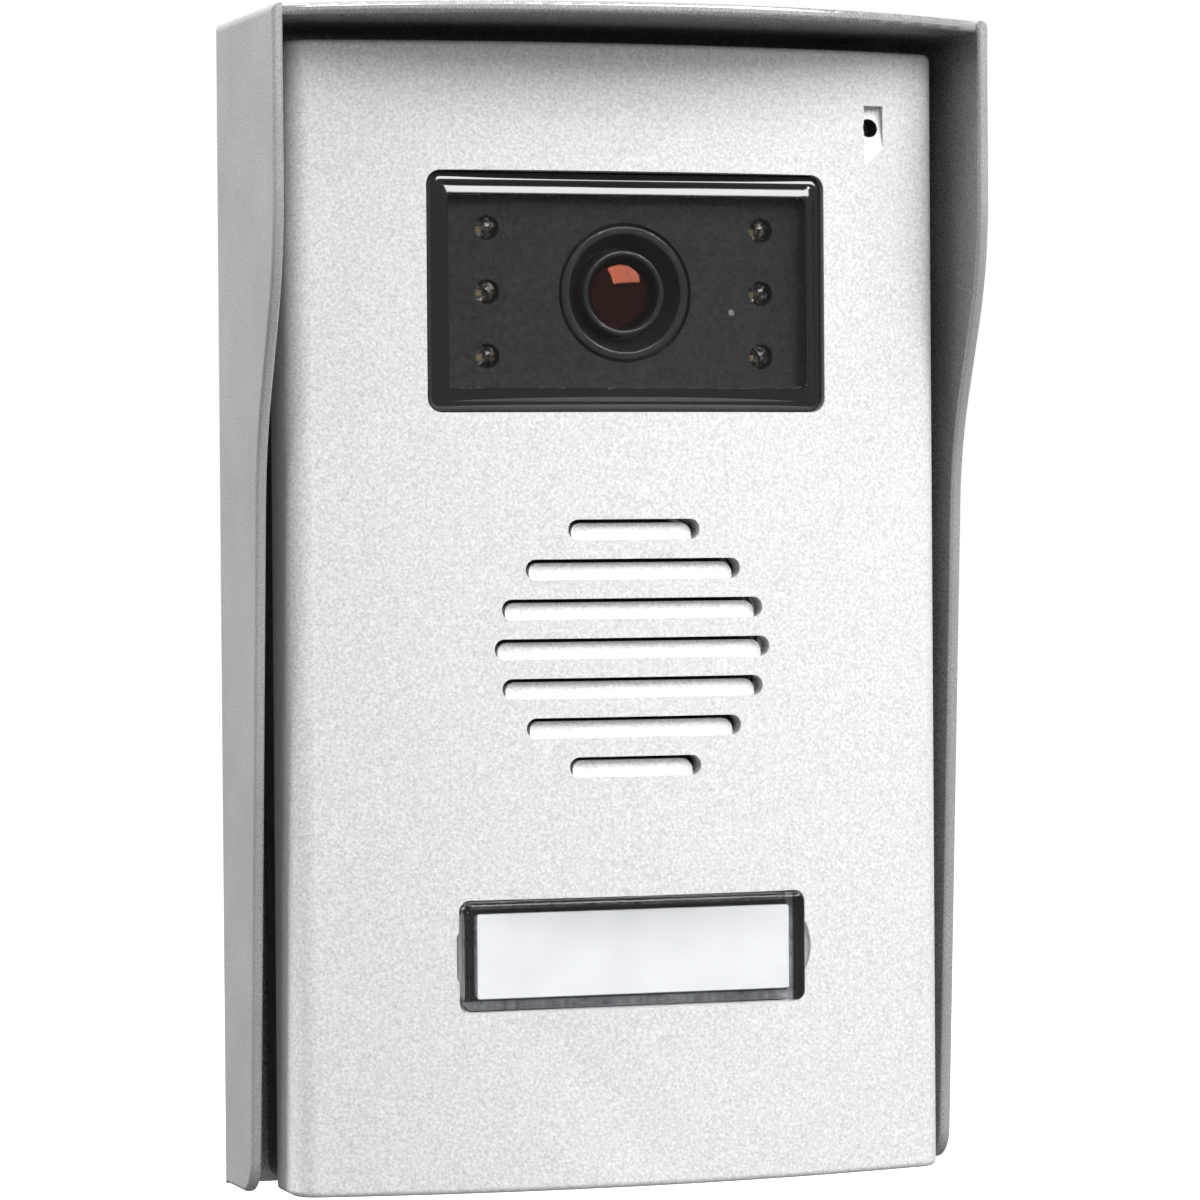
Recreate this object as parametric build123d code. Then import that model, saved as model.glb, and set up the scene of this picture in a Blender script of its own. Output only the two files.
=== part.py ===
from build123d import *
import os
from math import cos, radians, sin, sqrt

# Door intercom panel. Millimetres. +Z is up and the front faces -Y.
# The wall is the plane y = 0, and the origin is the centre of the four wall-fixing holes.
# Depths are negative y, so "front" is always the lower y of a pair.

# --- Driving dimensions ---------------------------------------------------------------

# case
FACE_HALF_W = 45.1
FACE_HALF_H = 75.0
FACE_CROWN_Y = -27.0
FACE_SIDE_Y = -21.4
FACE_WALL = 2.5
CHEEK_R = 3.5
FACE_END_R = 0.8
SPLIT_Y = -12.0
REAR_Y = -5.5
REAR_FLOOR_Y = -7.7
REAR_HALF_W = 44.6
REAR_HALF_H = 74.5
REAR_WALL = 2.6
REAR_CORNER_R = 2.5
SEAL_HALF_W = 43.6
SEAL_HALF_H = 73.5
SEAL_W = 1.2
SEAL_T = 0.9

# rain hood
HOOD_HALF_W = 49.3
HOOD_TOP = 78.8
HOOD_BOTTOM = -75.2
HOOD_T = 1.5
HOOD_TOP_DEPTH = 30.0
HOOD_LIP_DEPTH = 42.5
HOOD_WAIST_DEPTH = 20.2
HOOD_FOOT_DEPTH = 14.3
HOOD_BEND_Z = (46.6, 22.1)
HOOD_BEND_R = 45.0
HOOD_FOOT_R = 4.5
HOOD_RIM_R = 0.55
HOOD_FOLD_R = 1.2
WALL_HOLE_X = 32.0
WALL_HOLE_Z = 52.0
WALL_HOLE_R = 2.25
HOOK_X = 22.0
HOOK_Z = 60.0
HOOK_HALF_W = 3.5
HOOK_TIP_Y = -9.6
TAB_HALF_W = 9.0
TAB_DEPTH = 11.0

# cable entry and terminals
ENTRY_Z = -56.5
ENTRY_SIZE = (34.0, 24.0)
ENTRY_CORNER_R = 4.0
ENTRY_CLEAR = (28.0, 18.0)
ENTRY_POCKET = (30.6, 18.2)
TERMINAL_Z = -53.0
TERMINAL_COUNT = 5
TERMINAL_PITCH = 5.0
TERMINAL_REAR_Y = -5.8
TERMINAL_SEAT_Y = -9.0

# camera window and camera
CAM_Z = 42.5
WINDOW_SIZE = (54.8, 31.2)
WINDOW_R = 1.8
WINDOW_FRONT_Y = -25.4
WINDOW_BEAD_Y = -24.8
WINDOW_STEP = (52.2, 28.6)
WINDOW_PANE = (49.7, 25.4)
WINDOW_FLANGE = (59.6, 36.0)
FLANGE_Y = (-20.1, -21.3)
SEAT_Y = -21.9
PLATE_RIM = (51.4, 27.8)
PLATE_RECESS = (49.0, 25.4)
PLATE_Y = (-18.9, -20.1)
PLATE_FLOOR_Y = -22.0
PLATE_FRONT_Y = -23.2
LED_X = 19.0
LED_PITCH = 8.36
LED_R = 1.5
LED_LEG_X = 1.27
LED_LEG_R = 0.25
SENSOR_POS = (14.9, 40.0)
SENSOR_TIP_R = 0.4
IR_BOARD_Y = (-17.2, -18.4)
CAM_BOARD_Y = (-11.0, -12.2)
CAM_POST = (22.4, 10.6)
CAM_POST_R = 2.0
PLATE_SCREW = (32.6, 13.0)
SHROUD_R = 10.4
SHROUD_Y = -21.0
LENS_R = 4.8
LENS_Y = (-20.6, -23.7)
LENS_BULGE = 1.3
BARREL_R = 5.8
HOLDER_Y = -14.6

# speaker
SPK_Z = -4.15
SPK_R = 20.0
SPK_SEAT_Y = -22.4
SPK_RIM_Y = (-20.9, -21.8)
SPK_PLATE_Y = -11.4
SPK_GAP_Y = -15.4
SLOT_WIDTHS = (18.2, 29.7, 36.1, 38.1, 36.1, 29.7, 18.2)
SLOT_PITCH = 5.18
SLOT_H = 2.7
SLOT_FLOOR_DEPTHS = (1.1, 1.9)
SLOT_TOP_GAP = 0.5
SLOT_END_GAP = 0.8
SPK_SCREW_R = 22.2
SPK_SCREW_ANGLES = (90.0, 210.0, 330.0)

# microphone
MIC_X = 34.9
MIC_Z = 64.8
MIC_R = 3.0
MIC_BOOT_R = 4.0
MIC_SEAT_Y = -20.3
MIC_POCKET_X = (33.8, 36.7)
MIC_POCKET_Z = (60.0, 67.7)
MIC_POCKET_DEPTH = 1.6
MIC_HOLE_R = 1.2

# call button
BTN_Z = -44.1
BTN_SIZE = (47.6, 14.4)
BTN_R = 1.3
BTN_EDGE_R = 0.5
BTN_REAR_Y = -21.9
BTN_FRONT_Y = -26.6
BTN_TOP_T = 1.2
BTN_GAP = 0.2
BTN_POCKET = (43.4, 11.2)
BTN_FLANGE = (49.4, 17.0)
BTN_FRAME_Y = (-20.5, -21.7)
LABEL_SIZE = (43.2, 11.0)
LABEL_T = 0.35
GUIDE_POCKET = (31.0, 8.6)
GUIDE_TOP_T = 1.2
SCALLOP_R = 6.6
SCALLOP_REACH = 1.1
SCALLOP_DEPTH = 1.1
SPRING_X = 19.5
SPRING_R = 2.0
SPRING_WIRE_R = 0.2
SPRING_Y = (-16.52, -20.25)
SPRING_PITCH = 0.93
SWITCH_FRONT_Y = -18.5
PLUNGER_R = 1.6
PLUNGER_COLLAR_R = 2.1
PLUNGER_Y = (-17.75, -20.0)
BACKLIGHT_X = 9.0

# main board
BOARD_Y = (-14.7, -16.3)
BOARD_HALF_W = 36.0
BOARD_Z = (-69.5, -27.0)
BOARD_SCREWS = ((-32.0, -31.0), (32.0, -31.0), (-32.0, -65.0), (32.0, -65.0))
CHIP_POS = (-22.0, -59.0)
CAPACITOR_POS = (-24.0, -56.0)
RELAY_POS = (-24.0, -42.0)
HEADER_Z = -30.5
HEADER_HALF_W = 13.0
TRIMMER_POS = (24.0, -42.0)
TRIMMER_R = 2.2
TRIMMER_Y = (-9.6, -12.9)

# screws: the radius of a hole that a thread cuts into, and of one that the screw passes through
CASE_SCREWS = ((-20.0, 69.3), (20.0, 69.3), (-39.9, -69.3), (39.9, -69.3))
CASE_SCREW_R = 1.45
CASE_PILOT_R = 1.5
CASE_CLEAR_R = 1.7
CASE_BOSS_R = 3.0
CASE_SINK_DEPTH = 2.2
CASE_SINK_R = 2.8
SMALL_SCREW_R = 1.2
SMALL_PILOT_R = 1.25
SMALL_CLEAR_R = 1.4
BOARD_SCREW_R = 0.9
BOARD_PILOT_R = 0.95
BOARD_CLEAR_R = 1.1
HOOD_SCREW_Y = -8.0
HOOD_SINK = (2.8, 1.6, 1.4)
INSERT_Z = -70.9
INSERT_R = 2.05
INSERT_LENGTH = 5.0

# cuts that pass right through run between these depths
BEHIND = 1.0
AHEAD = -60.0
NEAR = 1.0
TINY = 0.01

FACE_R = (FACE_HALF_W**2 + (FACE_SIDE_Y - FACE_CROWN_Y)**2) / (2 * (FACE_SIDE_Y - FACE_CROWN_Y))
FACE_AXIS_Y = FACE_CROWN_Y + FACE_R
LED_PLACES = [(side * LED_X, CAM_Z + row * LED_PITCH) for side in (-1, 1) for row in (1, 0, -1)]
CAM_POSTS = [(sx * CAM_POST[0], CAM_Z + sz * CAM_POST[1]) for sx in (-1, 1) for sz in (1, -1)]
PLATE_SCREWS = [(sx * PLATE_SCREW[0], CAM_Z + sz * PLATE_SCREW[1]) for sx in (-1, 1) for sz in (1, -1)]
SPK_SCREWS = [
    (SPK_SCREW_R * cos(radians(a)), SPK_Z + SPK_SCREW_R * sin(radians(a))) for a in SPK_SCREW_ANGLES
]
SLOT_ZS = [SPK_Z + (3 - i) * SLOT_PITCH for i in range(len(SLOT_WIDTHS))]
TERMINAL_XS = [(i - (TERMINAL_COUNT - 1) / 2) * TERMINAL_PITCH for i in range(TERMINAL_COUNT)]


# --- Helpers --------------------------------------------------------------------------

def block(x0, x1, y0, y1, z0, z1):
    """Box between two corners."""
    middle = Pos((x0 + x1) / 2, (y0 + y1) / 2, (z0 + z1) / 2)
    return middle * Box(abs(x1 - x0), abs(y1 - y0), abs(z1 - z0))


def grown(size, amount):
    """Width and height made larger by the same amount."""
    return (size[0] + amount, size[1] + amount)


def facing(y, size, corner, x=0.0, z=0.0):
    """Rounded rectangle in the plane y, facing the front."""
    return Plane.XZ.offset(-y) * Pos(x, z) * RectangleRounded(size[0], size[1], corner)


def plate(size, corner, rear_y, front_y, x=0.0, z=0.0):
    """Rounded rectangle facing the front, from rear_y to front_y."""
    return extrude(facing(rear_y, size, corner, x, z), rear_y - front_y)


def disc(radius, rear_y, front_y, x=0.0, z=0.0):
    """Cylinder along Y."""
    outline = Plane.XZ.offset(-rear_y) * Pos(x, z) * Circle(radius)
    return extrude(outline, rear_y - front_y)


def bore(radius, x=0.0, z=0.0):
    """Hole along Y through everything."""
    return disc(radius, BEHIND, AHEAD, x, z)


def tube(outer, inner, rear_y, front_y, x=0.0, z=0.0):
    """Ring along Y."""
    return disc(outer, rear_y, front_y, x, z) - bore(inner, x, z)


def turned(points, x, z):
    """Solid of revolution about a Y axis from (radius, y) points."""
    outline = make_face(Polyline(*[(r, y) for r, y in points], close=True))
    return Pos(x, 0, z) * revolve(outline, Axis.Y)


def cross(x, z, reach, half_w, y0, y1):
    """Cross recess for a screwdriver."""
    level = block(x - reach, x + reach, y0, y1, z - half_w, z + half_w)
    return level + block(x - half_w, x + half_w, y0, y1, z - reach, z + reach)


def pan_screw(x, z, head_y, head_r, head_t, shank_r, tip_y, towards=-1):
    """Pan-head screw along Y with a cross recess; its head sits on the plane head_y."""
    outer_y = head_y - towards * head_t
    low, high = sorted((head_y, outer_y))
    head = disc(head_r, high, low, x, z)
    low, high = sorted((head_y, tip_y))
    shank = disc(shank_r, high, low, x, z)
    return head + shank - cross(x, z, head_r * 0.55, 0.25, outer_y, outer_y + towards * head_t / 2)


def bowed_prism(half_w, half_h, back_y, side_y, crown_y):
    """Upright prism whose front is a shallow arc seen from above."""
    rails = Polyline((-half_w, side_y), (-half_w, back_y), (half_w, back_y), (half_w, side_y))
    front = ThreePointArc((half_w, side_y), (0, crown_y), (-half_w, side_y))
    return Pos(0, 0, -half_h) * extrude(make_face(rails + front), 2 * half_h)


def face_y(x, inset=0.0):
    """Depth of the bowed face at x, or of the surface a given inset behind it."""
    return FACE_AXIS_Y - sqrt((FACE_R - inset)**2 - x**2)


def front_rim(body, front_y):
    """Edges of a body that lie in the plane front_y."""
    return body.edges().filter_by(lambda e: abs(e.center().Y - front_y) < TINY)


def lead(points, radii, radius):
    """Round lead along straight runs joined by arcs."""
    path = FilletPolyline(*points, radius=radii)
    section = Plane(path @ 0, z_dir=path % 0) * Circle(radius)
    solid = sweep(section, path)
    print(f"lead: length {path.length:.1f}, volume ratio "
          f"{solid.volume / (section.area * path.length):.4f}, radii {radii}")
    return solid


# --- Rain hood --------------------------------------------------------------------------

def hood_side(x0):
    """One side of the hood, its front edge bent back below the window and rounded over."""
    points = [
        (0, HOOD_BOTTOM), (-HOOD_FOOT_DEPTH, HOOD_BOTTOM), (-HOOD_WAIST_DEPTH, HOOD_BEND_Z[1]),
        (-HOOD_TOP_DEPTH, HOOD_BEND_Z[0]), (-HOOD_TOP_DEPTH, HOOD_TOP), (0, HOOD_TOP),
    ]
    outline = make_face(Polyline(*points, close=True))
    bends = outline.vertices().filter_by_position(Axis.Y, HOOD_BEND_Z[1] - NEAR, HOOD_BEND_Z[0] + NEAR)
    outline = fillet(bends, HOOD_BEND_R)
    foot = [v for v in outline.vertices() if v.Y < HOOD_BOTTOM + NEAR and v.X < -NEAR]
    outline = fillet(foot, HOOD_FOOT_R)
    side = extrude(Plane.YZ.offset(x0) * outline, HOOD_T)
    rims = [e for e in side.edges() if abs(e.tangent_at(0.5).X) < TINY
            and e.center().Y < -NEAR and e.center().Z < HOOD_TOP - TINY]
    return fillet(rims, HOOD_RIM_R)


def hood_top():
    """Top of the hood, bowed forward over the case and set between the two sides."""
    y = HOOD_RIM_R - HOOD_TOP_DEPTH
    half = HOOD_HALF_W - HOOD_T
    front = ThreePointArc((half, y), (0, -HOOD_LIP_DEPTH), (-half, y))
    back = Polyline((-half, y), (-half, 0), (half, 0), (half, y))
    top = Pos(0, 0, HOOD_TOP - HOOD_T) * extrude(make_face(back + front), HOOD_T)
    return fillet(top.edges().filter_by(GeomType.CIRCLE), HOOD_RIM_R)


def hood_folds():
    """Space whose rounded edges are the outside of the hood's folds."""
    length = 200.0
    front_view = plate((2 * HOOD_HALF_W, length), HOOD_FOLD_R, BEHIND, AHEAD, z=HOOD_TOP - length / 2)
    plan = Pos(0, -length / 2) * RectangleRounded(2 * HOOD_HALF_W, length, HOOD_FOLD_R)
    return front_view & Pos(0, 0, -length / 2) * extrude(plan, length)


def hood_hook(x):
    """Hook on the back plate that the rear cover hangs on."""
    tip_height = 6.0
    left, right = x - HOOK_HALF_W, x + HOOK_HALF_W
    shelf = block(left, right, -HOOD_T, HOOK_TIP_Y, HOOK_Z, HOOK_Z + HOOD_T)
    return shelf + block(left, right, HOOK_TIP_Y + HOOD_T, HOOK_TIP_Y, HOOK_Z, HOOK_Z + tip_height)


def hood_screw_hole():
    """Countersunk hole up through the tab under the case."""
    mouth_r, neck_r, depth = HOOD_SINK
    sink = Pos(0, HOOD_SCREW_Y, HOOD_BOTTOM + depth / 2) * Cone(mouth_r, neck_r, depth)
    return sink + Pos(0, HOOD_SCREW_Y, HOOD_BOTTOM + HOOD_T) * Cylinder(neck_r, 2 * HOOD_T)


def rain_hood():
    body = block(-HOOD_HALF_W, HOOD_HALF_W, 0, -HOOD_T, HOOD_BOTTOM, HOOD_TOP)
    body += hood_side(-HOOD_HALF_W) + hood_side(HOOD_HALF_W - HOOD_T) + hood_top()
    body &= hood_folds()
    body += block(-TAB_HALF_W, TAB_HALF_W, 0, -TAB_DEPTH, HOOD_BOTTOM, HOOD_BOTTOM + HOOD_T)
    body += hood_hook(-HOOK_X) + hood_hook(HOOK_X)
    for x in (-WALL_HOLE_X, WALL_HOLE_X):
        for z in (-WALL_HOLE_Z, WALL_HOLE_Z):
            body -= bore(WALL_HOLE_R, x, z)
    body -= plate(ENTRY_SIZE, ENTRY_CORNER_R, BEHIND, -HOOD_T - NEAR, z=ENTRY_Z)
    return body - hood_screw_hole()


def cable_grommet():
    gap = 0.1
    collar_reach = 2.0
    collar_t = 1.2
    sleeve = plate(grown(ENTRY_SIZE, -gap), ENTRY_CORNER_R - gap / 2, 0, -HOOD_T, z=ENTRY_Z)
    collar_size = grown(ENTRY_SIZE, 2 * collar_reach)
    collar = plate(collar_size, ENTRY_CORNER_R + 1, -HOOD_T, -HOOD_T - collar_t, z=ENTRY_Z)
    return sleeve + collar - plate(ENTRY_CLEAR, ENTRY_CORNER_R - 1, BEHIND, AHEAD, z=ENTRY_Z)


# --- Case -----------------------------------------------------------------------------

def rear_cover():
    outer = plate((2 * REAR_HALF_W, 2 * REAR_HALF_H), REAR_CORNER_R, REAR_Y, SPLIT_Y)
    inner = (2 * (REAR_HALF_W - REAR_WALL), 2 * (REAR_HALF_H - REAR_WALL))
    body = outer - plate(inner, REAR_CORNER_R - 1, REAR_FLOOR_Y, AHEAD)
    body -= seal_ring(0.0, SPLIT_Y + SEAL_T, SPLIT_Y - NEAR)
    for x, z in CASE_SCREWS:
        body += disc(CASE_BOSS_R, REAR_FLOOR_Y, SPLIT_Y, x, z) & outer
        body -= bore(CASE_CLEAR_R, x, z) + disc(CASE_SINK_R, BEHIND, REAR_Y - CASE_SINK_DEPTH, x, z)
    for x, z in BOARD_SCREWS:
        body += board_post(x, z)
    body += terminal_well()
    body -= plate(ENTRY_POCKET, 1, BEHIND, AHEAD, z=ENTRY_Z)
    for x in (-HOOK_X, HOOK_X):
        body -= hook_slot(x)
    trimmer_hole_r = 2.6
    body -= disc(trimmer_hole_r, BEHIND, -10, *TRIMMER_POS)
    return add_hood_screw_boss(body)


def board_post(x, z):
    """Post that the main board is screwed to."""
    floor_t = 0.8
    post = disc(CASE_BOSS_R, REAR_FLOOR_Y, BOARD_Y[0], x, z)
    return post - disc(SMALL_PILOT_R, REAR_FLOOR_Y - floor_t, AHEAD, x, z)


def terminal_well():
    """Wall round the opening through which the terminals are reached."""
    wall = 1.4
    gap = 0.2
    return plate(grown(ENTRY_POCKET, 2 * wall), 2, REAR_FLOOR_Y, BOARD_Y[0] + gap, z=ENTRY_Z)


def hook_slot(x):
    """Opening in the rear cover for one hook of the hood, open downwards for hanging."""
    side_gap = 0.5
    drop = 5.0
    top = HOOK_Z + HOOD_T + 0.1
    return block(x - HOOK_HALF_W - side_gap, x + HOOK_HALF_W + side_gap, BEHIND, -10, HOOK_Z - drop, top)


def add_hood_screw_boss(body):
    """Boss for the brass insert at the bottom, over a notch for the hood's tab."""
    boss_half_w = 5.0
    boss_bottom = -72.2
    notch_top = -73.4
    insert_hole_r = 2.1
    well_bottom = ENTRY_Z - 10.3
    body += block(-boss_half_w, boss_half_w, REAR_Y, SPLIT_Y, boss_bottom, well_bottom)
    notch_half_w = TAB_HALF_W + 2
    body -= block(-notch_half_w, notch_half_w, BEHIND, SPLIT_Y + SEAL_T, -REAR_HALF_H - NEAR, notch_top)
    return body - Pos(0, HOOD_SCREW_Y, INSERT_Z - 0.1) * Cylinder(insert_hole_r, INSERT_LENGTH + 0.2)


def seal_ring(gap, rear_y, front_y):
    """Ring between the two case halves; gap narrows its section."""
    middle = (2 * SEAL_HALF_W, 2 * SEAL_HALF_H)
    outer = plate(grown(middle, SEAL_W - gap), 2.0, rear_y, front_y)
    return outer - plate(grown(middle, gap - SEAL_W), 1.0, BEHIND, AHEAD)


def front_cover():
    body = bowed_prism(FACE_HALF_W, FACE_HALF_H, SPLIT_Y, FACE_SIDE_Y, FACE_CROWN_Y)
    cheeks = [e for e in body.edges().filter_by(Axis.Z) if e.center().Y < SPLIT_Y - NEAR]
    body = fillet(cheeks, CHEEK_R)
    ends = [e for e in body.edges() if abs(e.center().Z) > FACE_HALF_H - TINY
            and e.center().Y < SPLIT_Y - NEAR / 2]
    body = fillet(ends, FACE_END_R)
    inner_w = FACE_HALF_W - FACE_WALL
    body -= bowed_prism(inner_w, FACE_HALF_H - FACE_WALL, SPLIT_Y + NEAR, face_y(inner_w, FACE_WALL),
                        FACE_CROWN_Y + FACE_WALL)
    body += inside_the_face(cover_seats())
    return body - cover_cuts()


def inside_the_face(solid):
    """Trim a rear feature so that none of it passes the middle of the front wall."""
    half = FACE_HALF_W - FACE_WALL / 2
    limit = bowed_prism(half, FACE_HALF_H - FACE_WALL / 2, 0, face_y(half, FACE_WALL / 2),
                        FACE_CROWN_Y + FACE_WALL / 2)
    return solid & limit


def cover_seats():
    """Ribs, rings and bosses on the back of the front wall."""
    deep = FACE_CROWN_Y
    mic_collar_y = -17.2
    mic_collar_r = 5.0
    seats = plate(grown(WINDOW_SIZE, 7.2), 3, SEAT_Y, deep, z=CAM_Z)
    seats += plate(grown(BTN_SIZE, 6.5), 3, SEAT_Y + 0.1, deep, z=BTN_Z)
    seats += disc(SPK_R + 3, SPK_SEAT_Y, deep, 0, SPK_Z)
    seats += disc(mic_collar_r, MIC_SEAT_Y, deep, MIC_X, MIC_Z)
    seats += tube(mic_collar_r, MIC_BOOT_R + 0.1, mic_collar_y, MIC_SEAT_Y - 0.1, MIC_X, MIC_Z)
    for x, z in PLATE_SCREWS:
        seats += disc(2.5, PLATE_Y[1], deep, x, z)
    for x, z in SPK_SCREWS:
        seats += disc(2.2, SPK_RIM_Y[0], deep, x, z)
    for x, z in CASE_SCREWS:
        seats += disc(CASE_BOSS_R, SPLIT_Y - 0.2, deep, x, z)
    return seats


def cover_cuts():
    """Everything that is cut into or through the front wall."""
    window_gap = 0.15
    cuts = plate(grown(WINDOW_SIZE, 2 * window_gap), WINDOW_R + 0.1, 0, AHEAD, z=CAM_Z)
    cuts += plate(grown(BTN_SIZE, 2 * BTN_GAP), BTN_R + BTN_GAP, 0, AHEAD, z=BTN_Z)
    scallop_x = BTN_SIZE[0] / 2 + SCALLOP_REACH - SCALLOP_R
    for side in (-1, 1):
        cuts += disc(SCALLOP_R, face_y(BTN_SIZE[0] / 2) + SCALLOP_DEPTH, AHEAD, side * scallop_x, BTN_Z)
    cuts += disc(SPK_R - 1.5, 0, SPK_SEAT_Y - 1.0, 0, SPK_Z)
    cuts += speaker_slots() + microphone_pocket()
    for places, pilot_r, end_y in ((PLATE_SCREWS, SMALL_PILOT_R, -22.6), (SPK_SCREWS, SMALL_PILOT_R, -23.6),
                                   (CASE_SCREWS, CASE_PILOT_R, -18.5)):
        for x, z in places:
            cuts += disc(pilot_r, 0, end_y, x, z)
    return cuts


def speaker_slots():
    """Round-ended slots; each floor leans back from the lower edge and stops short of the top and
    the ends, so that sound passes round it."""
    slots = Part()
    corner = SLOT_H / 2 - TINY
    for width, z in zip(SLOT_WIDTHS, SLOT_ZS):
        opening = plate((width, SLOT_H), corner, SPK_SEAT_Y - 0.6, AHEAD, z=z)
        low, high = (FACE_R - depth for depth in SLOT_FLOOR_DEPTHS)
        ramp = Pos(0, FACE_AXIS_Y, z) * Cone(low, high, SLOT_H)
        tongue = plate((width - 2 * SLOT_END_GAP, 2 * SLOT_H), SLOT_H / 2, 0, AHEAD,
                       z=z - SLOT_H / 2 - SLOT_TOP_GAP)
        slots += opening - (ramp & tongue)
    return slots


def microphone_pocket():
    """Sloping pocket, deepest at the top, with the sound hole in it."""
    low, high = MIC_POCKET_Z
    skin = face_y(MIC_X)
    corners = [(AHEAD, high), (skin + MIC_POCKET_DEPTH, high), (skin - 0.1, low), (AHEAD, low)]
    ramp = Plane.YZ.offset(MIC_POCKET_X[0]) * make_face(Polyline(*corners, close=True))
    return extrude(ramp, MIC_POCKET_X[1] - MIC_POCKET_X[0]) + disc(MIC_HOLE_R, 0, AHEAD, MIC_X, MIC_Z)


def cover_screws():
    head_y = REAR_Y - CASE_SINK_DEPTH
    return Compound([pan_screw(x, z, head_y, 2.6, 1.8, CASE_SCREW_R, -18.0) for x, z in CASE_SCREWS])


def hood_screw_insert():
    ring = Cylinder(INSERT_R, INSERT_LENGTH) - Cylinder(CASE_PILOT_R, INSERT_LENGTH + 1)
    groove_r = INSERT_R - 0.2
    for z in (-1.2, 1.2):
        ring -= Pos(0, 0, z) * (Cylinder(INSERT_R + 0.15, 0.5) - Cylinder(groove_r, 0.6))
    return Pos(0, HOOD_SCREW_Y, INSERT_Z) * ring


def hood_fixing_screw():
    head_r = 2.7
    head_t = 1.4
    length = 6.0
    head = Pos(0, 0, head_t / 2) * Cone(head_r, CASE_SCREW_R, head_t)
    shank = Pos(0, 0, (length + 1.2) / 2) * Cylinder(CASE_SCREW_R, length - 1.2)
    socket = extrude(RegularPolygon(1.15, 6), 0.9)
    return Pos(0, HOOD_SCREW_Y, HOOD_BOTTOM + 0.05) * (head + shank - socket)


# --- Camera ---------------------------------------------------------------------------

def camera_window():
    """Clear window: a rounded bead, a bevel up to the pane, and a flange behind the cover."""
    body = plate(WINDOW_SIZE, WINDOW_R, FLANGE_Y[1], WINDOW_BEAD_Y, z=CAM_Z)
    body = fillet(front_rim(body, WINDOW_BEAD_Y), 0.8)
    foot = facing(WINDOW_BEAD_Y, WINDOW_STEP, 1.2, z=CAM_Z)
    pane = facing(WINDOW_FRONT_Y, WINDOW_PANE, 0.8, z=CAM_Z)
    body += loft([foot.faces()[0], pane.faces()[0]])
    body += plate(WINDOW_FLANGE, 3, *FLANGE_Y, z=CAM_Z)
    return body - plate(grown(PLATE_RIM, 0.6), 1, 0, PLATE_FRONT_Y - 0.1, z=CAM_Z)


def camera_gasket():
    gap = 0.3
    body = plate(WINDOW_FLANGE, 3, FLANGE_Y[1], SEAT_Y, z=CAM_Z)
    return body - plate(grown(WINDOW_SIZE, 2 * gap), WINDOW_R + gap, 0, AHEAD, z=CAM_Z)


def camera_faceplate():
    led_hole_r = 1.65
    lens_hole_r = 9.2
    body = plate(PLATE_RIM, 0.8, PLATE_Y[1], PLATE_FRONT_Y, z=CAM_Z)
    body += plate((70.0, 34.0), 3, *PLATE_Y, z=CAM_Z)
    body -= plate(PLATE_RECESS, 0.5, 0, PLATE_FLOOR_Y, z=CAM_Z)
    for x, z in CAM_POSTS:
        body += disc(CAM_POST_R, IR_BOARD_Y[1], PLATE_FLOOR_Y, x, z)
        body -= disc(BOARD_PILOT_R, 0, PLATE_FLOOR_Y - 0.3, x, z)
    body -= bore(lens_hole_r, 0, CAM_Z)
    for x, z in LED_PLACES:
        body -= bore(led_hole_r, x, z)
    body -= bore(SENSOR_TIP_R + 0.05, *SENSOR_POS)
    for x, z in PLATE_SCREWS:
        body -= bore(1.35, x, z)
    return body


def lens_shroud():
    """Ring clamped behind the faceplate, with a lip in front and a bowl down to the barrel."""
    lip_y = -23.25
    outline = [(7.7, -23.15), (8.0, lip_y), (8.5, lip_y), (8.85, -23.1), (8.85, PLATE_FLOOR_Y),
               (SHROUD_R, PLATE_FLOOR_Y), (SHROUD_R, SHROUD_Y), (8.4, SHROUD_Y), (7.6, -19.9), (6.3, -19.9)]
    return turned(outline, 0, CAM_Z)


def lens_barrel():
    bore_r = 3.4
    rear_y = -14.8
    outline = [(LENS_R + 0.05, -22.7), (5.5, -22.7), (5.7, -22.5), (5.7, -19.2), (BARREL_R, -19.0),
               (BARREL_R, rear_y), (bore_r, rear_y), (bore_r, LENS_Y[0]), (LENS_R + 0.05, LENS_Y[0])]
    return turned(outline, 0, CAM_Z)


def lens_front_element():
    """Domed glass; the dome's radius follows from its bulge over the rim."""
    dome_r = (LENS_R**2 + LENS_BULGE**2) / (2 * LENS_BULGE)
    dome = Pos(0, LENS_Y[1] + LENS_BULGE + dome_r, CAM_Z) * Sphere(dome_r)
    return disc(LENS_R, *LENS_Y, 0, CAM_Z) & dome


def lens_holder():
    seat_y = -13.6
    body = plate((16, 16), 1, CAM_BOARD_Y[1], HOLDER_Y, z=CAM_Z)
    body += disc(7.0, HOLDER_Y, -18.9, 0, CAM_Z)
    body -= plate((11, 11), 0.5, 0, seat_y, z=CAM_Z)
    body -= plate((6, 6), 0.5, 0, HOLDER_Y - NEAR, z=CAM_Z)
    return body - disc(BARREL_R + 0.05, HOLDER_Y, AHEAD, 0, CAM_Z)


def ir_filter():
    return plate((8, 8), 0.3, -13.1, -13.6, z=CAM_Z)


def image_sensor():
    body = plate((8.4, 8.4), 0.3, CAM_BOARD_Y[1], -12.9, z=CAM_Z)
    return body - plate((6.4, 5.2), 0.2, -12.75, AHEAD, z=CAM_Z)


def camera_board():
    body = plate((52.0, 26.0), 1.5, *CAM_BOARD_Y, z=CAM_Z)
    for x, z in CAM_POSTS:
        body -= bore(BOARD_CLEAR_R, x, z)
    return body


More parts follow.
